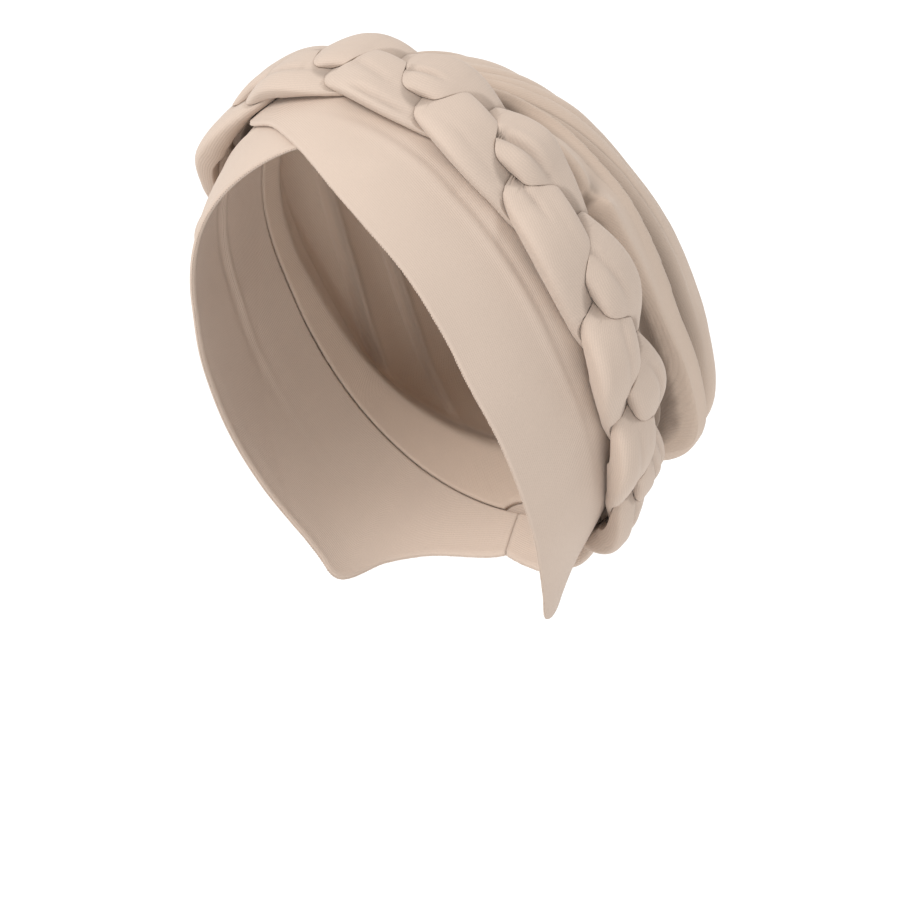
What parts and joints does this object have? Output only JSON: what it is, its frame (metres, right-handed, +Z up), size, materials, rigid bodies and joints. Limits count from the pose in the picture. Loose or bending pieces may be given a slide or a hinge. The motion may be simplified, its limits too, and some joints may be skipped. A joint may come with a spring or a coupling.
{
  "type": "turban headwrap",
  "caption": "Slouchy jersey turban headwrap with crossed front bands, a plaited ring of cloth strands round the head and a pleated, gathered crown.",
  "frame": {"origin": "point inside the crown where the highest point of the wearer's head touches it", "axes": "+Z up, the face opening towards -Y, +X towards the wearer's left"},
  "size_m": [0.1828, 0.2095, 0.214],
  "materials": {
    "crown_jersey": "matte fine jersey knit, pinkish beige",
    "band_jersey": "matte fine jersey knit, pinkish beige",
    "braid_jersey": "matte fine jersey knit, pinkish beige"
  },
  "bodies": {
    "root": {"crown": "crown_jersey", "wrap_left": "band_jersey", "wrap_right": "band_jersey", "braid_strand_1": "braid_jersey", "braid_strand_2": "braid_jersey", "braid_strand_3": "braid_jersey"}
  },
  "joints": []
}
